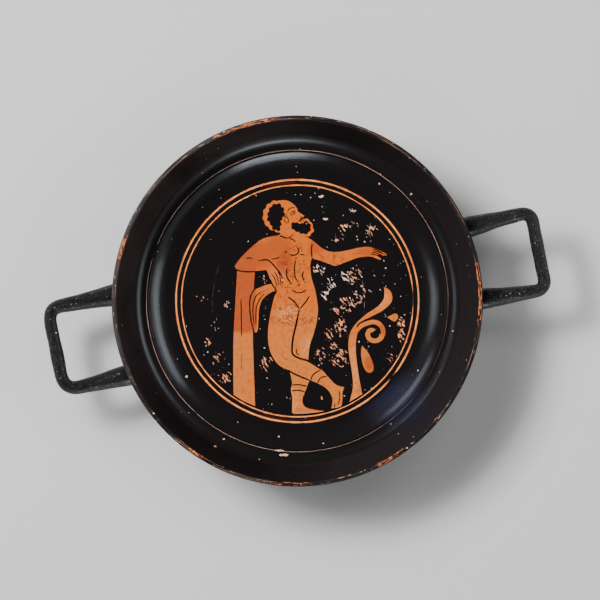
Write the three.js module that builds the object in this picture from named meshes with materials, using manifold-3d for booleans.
// Kylix: a shallow drinking cup on a low ring foot, with an offset lip and two looped handles.
// The real cup was thrown on a wheel, given rolled clay handles while still soft, and fired as one piece.
// Millimetres, +Z up. The origin is under the middle of the foot, and the handles lie along X.
import * as THREE from 'three';
import { mergeVertices } from 'three/addons/utils/BufferGeometryUtils.js';
import Module from 'manifold-3d';

const wasm = await Module();
wasm.setup();

// The bowl, from the rim inwards
const rimRadius = 88;
const cupHeight = 45;
const rimThickness = 2.6;
const lipFlare = 11.6; // from the corner at the lip's foot out to the rim
const lipTurnLength = 5; // the curved stretch of the lip above that corner
const offsetGap = 4.2; // from that corner in to the offset, the ring-shaped step under the lip
const offsetWidth = 1.2;
const wallWidth = 13.5; // from the offset in to the edge of the floor
const wallSlope = 39; // the wall's slope where it meets the offset, in degrees
const floorDish = 1; // the floor's rise from its middle to its edge
const lipThickness = 4.2;
const offsetThickness = 6;
const wallThickness = 4.7;
const floorThickness = 6.5;

// The ring foot
const footHeight = 9.5; // the height of the ring's round side
const footNeckHeight = 3.5; // from the top of that side up to the bowl's underside
const footInset = 18.5; // from the edge of the floor in to the edge of the face that the cup rests on
const footFaceWidth = 6;
const footSwell = 1.8; // how far the ring's round side stands out past that face
const footNeckInset = 1.5; // how far the neck stands in from that face's edge
const footFilletWidth = 6; // the hollow curve from the neck into the bowl's underside
const recessCurveWidth = 4.5; // the hollow curve inside the ring
const recessDome = 0.8; // the rise of the recess's roof towards its middle

// The handles
const handleLength = 32.7; // from the rim to the outside of the bar
const rootRise = 1.8; // from the offset's height up to the middle of an arm's root
const barThickness = 6.6;
const rootThickness = 14.5; // across an arm where it starts inside the wall
const sectionHeight = 0.92; // the section's height as a share of its width
const riseCurve = 1.25; // above 1, an arm bends upwards as it runs out
const taperCurve = 1.6; // above 1, most of the taper is near the root
const innerCover = 1.2; // clay left between an arm's root and the inside of the bowl
const leftHandle = {
  barDrop: 17, // from the rim's height down to the middle of the bar
  farArm: { root: 19.8, corner: 19.8, bend: 7 },
  nearArm: { root: -18, corner: -20.4, bend: 8.5 },
};
const rightHandle = {
  barDrop: 14,
  farArm: { root: 17.8, corner: 20, bend: 6 },
  nearArm: { root: -15.6, corner: -18, bend: 6 },
};

// What follows from those sizes
const turnRadius = rimRadius - lipFlare;
const offsetRadius = turnRadius - offsetGap - offsetWidth;
const floorEdgeRadius = offsetRadius - wallWidth;
const footFaceRadius = floorEdgeRadius - footInset;
const neckRadius = footFaceRadius - footNeckInset;
const recessHeight = footHeight + footNeckHeight;
const floorHeight = recessHeight + floorThickness;
const barMiddle = rimRadius + handleLength - barThickness / 2;

// Facets
const roundSteps = 80;
const floorShares = [0, 0.4, 0.75]; // the floor's points, as shares of its radius
const wallSteps = 4;
const lipSteps = 4;
const rimSteps = 6;
const outsideSteps = 15;
const filletSteps = 4;
const footSteps = 6;
const recessSteps = 4;
const sectionSteps = 12;
const armSteps = 8;
const bendSteps = 5;
const barSteps = 4;
const sameCorner = 1e-4; // corners closer than this are one corner

const radians = (angle) => THREE.MathUtils.degToRad(angle);
const { lerp } = THREE.MathUtils;
const point = (r, z) => new THREE.Vector2(r, z);

// A point moved out of the bowl, square to a surface that climbs outwards at the given angle
function pushedOut(from, slope, distance) {
  return point(from.x + distance * Math.sin(slope), from.y - distance * Math.cos(slope));
}

// The inside, from the middle of the floor to the lip, and the places that the outside is measured from
function insideProfile() {
  const floorEdge = point(floorEdgeRadius, floorHeight + floorDish);
  const lowSlope = Math.atan2(2 * floorDish, floorEdgeRadius);
  const highSlope = radians(wallSlope);
  const coveRadius = wallWidth / (Math.sin(highSlope) - Math.sin(lowSlope));
  const cove = (slope) => point(
    floorEdge.x + coveRadius * (Math.sin(slope) - Math.sin(lowSlope)),
    floorEdge.y + coveRadius * (Math.cos(lowSlope) - Math.cos(slope)),
  );
  const wallTop = cove(highSlope);
  const stepEdge = point(wallTop.x + offsetWidth, wallTop.y);
  const turn = point(turnRadius, wallTop.y);

  const bead = rimThickness / 2;
  const beadCentre = point(rimRadius - bead, cupHeight - bead);
  const toBead = beadCentre.clone().sub(turn);
  const lipSlope = toBead.angle() - Math.asin(bead / toBead.length());
  const alongLip = point(Math.cos(lipSlope), Math.sin(lipSlope));
  const lipFoot = turn.clone().addScaledVector(alongLip, lipTurnLength);

  const floor = floorShares.map((share) => point(floorEdge.x * share, floorHeight + floorDish * share ** 2));
  const wall = [];
  for (let i = 0; i <= wallSteps; i += 1) wall.push(cove(lerp(lowSlope, highSlope, i / wallSteps)));
  const lip = new THREE.QuadraticBezierCurve(stepEdge, turn, lipFoot).getPoints(lipSteps);
  const middleSlope = (lowSlope + highSlope) / 2;
  const middle = cove(middleSlope);
  const points = [...floor, ...wall, ...lip];
  return { points, floorEdge, middle, middleSlope, highSlope, stepEdge, lipFoot, lipSlope, bead, beadCentre };
}

// The rounded rim, from the inside over the top to the outside
function rimProfile({ bead, beadCentre, lipSlope }, outsideSlope) {
  const first = lipSlope + Math.PI / 2;
  const last = outsideSlope - Math.PI / 2;
  return new THREE.EllipseCurve(beadCentre.x, beadCentre.y, bead, bead, first, last, true).getPoints(rimSteps);
}

// The outside, from under the rim down to the foot's neck
function outsideProfile(inside) {
  const { floorEdge, middle, middleSlope, highSlope, stepEdge, lipFoot, lipSlope, bead, beadCentre } = inside;
  const neck = point(neckRadius, footHeight);
  const join = point(neckRadius + footFilletWidth, recessHeight + floorDish / 2);
  const lipOutside = pushedOut(lipFoot, lipSlope, lipThickness);
  const slope = Math.atan2(beadCentre.y - lipOutside.y, beadCentre.x + bead - lipOutside.x);
  const spine = new THREE.SplineCurve([
    pushedOut(beadCentre, slope, bead),
    lipOutside,
    pushedOut(stepEdge, highSlope, offsetThickness),
    pushedOut(middle, middleSlope, wallThickness),
    pushedOut(floorEdge, 0, (wallThickness + floorThickness) / 2),
    join,
  ]);
  const fillet = new THREE.QuadraticBezierCurve(join, point(neck.x, join.y), neck);
  const points = [...spine.getPoints(outsideSteps).slice(1), ...fillet.getPoints(filletSteps).slice(1)];
  return { slope, points };
}

// The foot's ring and the recess inside it, from the neck to the axis
function footProfile() {
  const reach = footHeight / 2;
  const middle = footFaceRadius + footSwell - reach;
  const highest = Math.acos((neckRadius - middle) / reach);
  const lowest = -Math.acos((footFaceRadius - middle) / reach);
  const ring = new THREE.EllipseCurve(middle, reach, reach, reach, highest, lowest, true);
  const faceInside = footFaceRadius - footFaceWidth;
  const recess = new THREE.QuadraticBezierCurve(
    point(faceInside, 0),
    point(faceInside - recessCurveWidth / 3, recessHeight),
    point(faceInside - recessCurveWidth, recessHeight),
  );
  return [
    ...ring.getPoints(footSteps).slice(1, -1),
    point(footFaceRadius, 0),
    ...recess.getPoints(recessSteps),
    point(0, recessHeight + recessDome),
  ];
}

// Six times the volume inside a mesh, negative where its faces look inwards
function windingVolume(index, corners) {
  const corner = (i) => new THREE.Vector3().fromArray(corners, 3 * i);
  let sum = 0;
  for (let i = 0; i < index.length; i += 3) {
    sum += corner(index[i]).dot(corner(index[i + 1]).cross(corner(index[i + 2])));
  }
  return sum;
}

// A solid that can be joined and cut, its faces turned outwards if they came out inwards
function solid(geometry) {
  const bare = geometry.clone();
  bare.deleteAttribute('normal');
  bare.deleteAttribute('uv');
  const merged = mergeVertices(bare, sameCorner);
  const index = merged.index.array;
  const corners = merged.attributes.position.array;
  const kept = [];
  for (let i = 0; i < index.length; i += 3) {
    const [a, b, c] = index.slice(i, i + 3);
    if (a !== b && b !== c && c !== a) kept.push(a, b, c);
  }
  if (windingVolume(kept, corners) < 0) kept.reverse();
  const vertProperties = new Float32Array(corners);
  return new wasm.Manifold(new wasm.Mesh({ numProp: 3, vertProperties, triVerts: new Uint32Array(kept) }));
}

// A closed body of turning, from a profile that starts and ends on the axis
function turned(profile) {
  const geometry = new THREE.LatheGeometry(profile, roundSteps);
  geometry.rotateX(Math.PI / 2);
  return solid(geometry);
}

// Half of a handle's plan: where an arm starts, where its bend starts and ends, and the corner it rounds off
function armPlan({ root, corner, bend }) {
  const start = new THREE.Vector2(offsetRadius, root);
  const turn = new THREE.Vector2(barMiddle, corner);
  const onArm = turn.clone().add(start.clone().sub(turn).setLength(bend));
  const onBar = new THREE.Vector2(barMiddle, corner - Math.sign(corner) * bend);
  return { start, turn, onArm, onBar };
}

// A handle's middle line seen from above, as on the +X side: out along the far arm, round its bend, along
// the bar, round the other bend and back along the near arm
function handlePlan({ farArm, nearArm }) {
  const far = armPlan(farArm);
  const near = armPlan(nearArm);
  return [
    ...new THREE.LineCurve(far.start, far.onArm).getPoints(armSteps),
    ...new THREE.QuadraticBezierCurve(far.onArm, far.turn, far.onBar).getPoints(bendSteps).slice(1),
    ...new THREE.LineCurve(far.onBar, near.onBar).getPoints(barSteps).slice(1),
    ...new THREE.QuadraticBezierCurve(near.onBar, near.turn, near.onArm).getPoints(bendSteps).slice(1),
    ...new THREE.LineCurve(near.onArm, near.start).getPoints(armSteps).slice(1),
  ];
}

// One handle: a round bar carried along that line, which rises and grows thinner as it runs outwards.
// side is 1 for the handle on +X and -1 for the one on -X
function handle(shape, side, rootHeight) {
  const plan = handlePlan(shape);
  const outwards = plan.map(({ x }) => (x - offsetRadius) / (barMiddle - offsetRadius));
  const line = plan.map(({ x, y }, i) => (
    new THREE.Vector3(side * x, y, lerp(rootHeight, cupHeight - shape.barDrop, outwards[i] ** riseCurve))
  ));
  const thickness = outwards.map((share) => lerp(barThickness, rootThickness, (1 - share) ** taperCurve));

  const steps = line.length - 1;
  const geometry = new THREE.CylinderGeometry(0.5, 0.5, steps, sectionSteps, steps);
  const place = geometry.attributes.position;
  for (let i = 0; i < place.count; i += 1) {
    const step = Math.round(place.getY(i) + steps / 2);
    const along = line[Math.min(step + 1, steps)].clone().sub(line[Math.max(step - 1, 0)]).normalize();
    const across = new THREE.Vector3(0, 0, 1).cross(along).normalize();
    const up = along.clone().cross(across);
    const corner = line[step].clone();
    corner.addScaledVector(across, place.getX(i) * thickness[step]);
    corner.addScaledVector(up, place.getZ(i) * thickness[step] * sectionHeight);
    place.setXYZ(i, corner.x, corner.y, corner.z);
  }
  return solid(geometry);
}

// The bowl's hollow grown by a layer of clay, which no handle may reach into
function handleLimit(inside) {
  const wall = inside.points.map(({ x, y }) => point(x === 0 ? 0 : x + innerCover, y - innerCover));
  const top = cupHeight + rimThickness;
  const mouth = rimRadius - rimThickness;
  return turned([...wall, point(mouth, cupHeight), point(mouth, top), point(0, top)]);
}

// The whole cup: the turned body with both handles joined on
function cup() {
  const inside = insideProfile();
  const outside = outsideProfile(inside);
  const rim = rimProfile(inside, outside.slope);
  const body = turned([...inside.points, ...rim, ...outside.points, ...footProfile()]);
  const limit = handleLimit(inside);
  const rootHeight = inside.stepEdge.y + rootRise;
  const left = handle(leftHandle, -1, rootHeight).subtract(limit);
  const right = handle(rightHandle, 1, rootHeight).subtract(limit);
  const { vertProperties, triVerts } = body.add(left).add(right).getMesh();
  const geometry = new THREE.BufferGeometry();
  geometry.setAttribute('position', new THREE.BufferAttribute(vertProperties, 3));
  geometry.setIndex(new THREE.BufferAttribute(triVerts, 1));
  geometry.computeVertexNormals();
  return geometry;
}

const blackGlaze = new THREE.MeshStandardMaterial({ color: 0x1c1718, roughness: 0.3, metalness: 0 });

const kylix = new THREE.Mesh(cup(), blackGlaze);
kylix.name = 'kylix_cup';

const group = new THREE.Group();
group.add(kylix);

export default group;
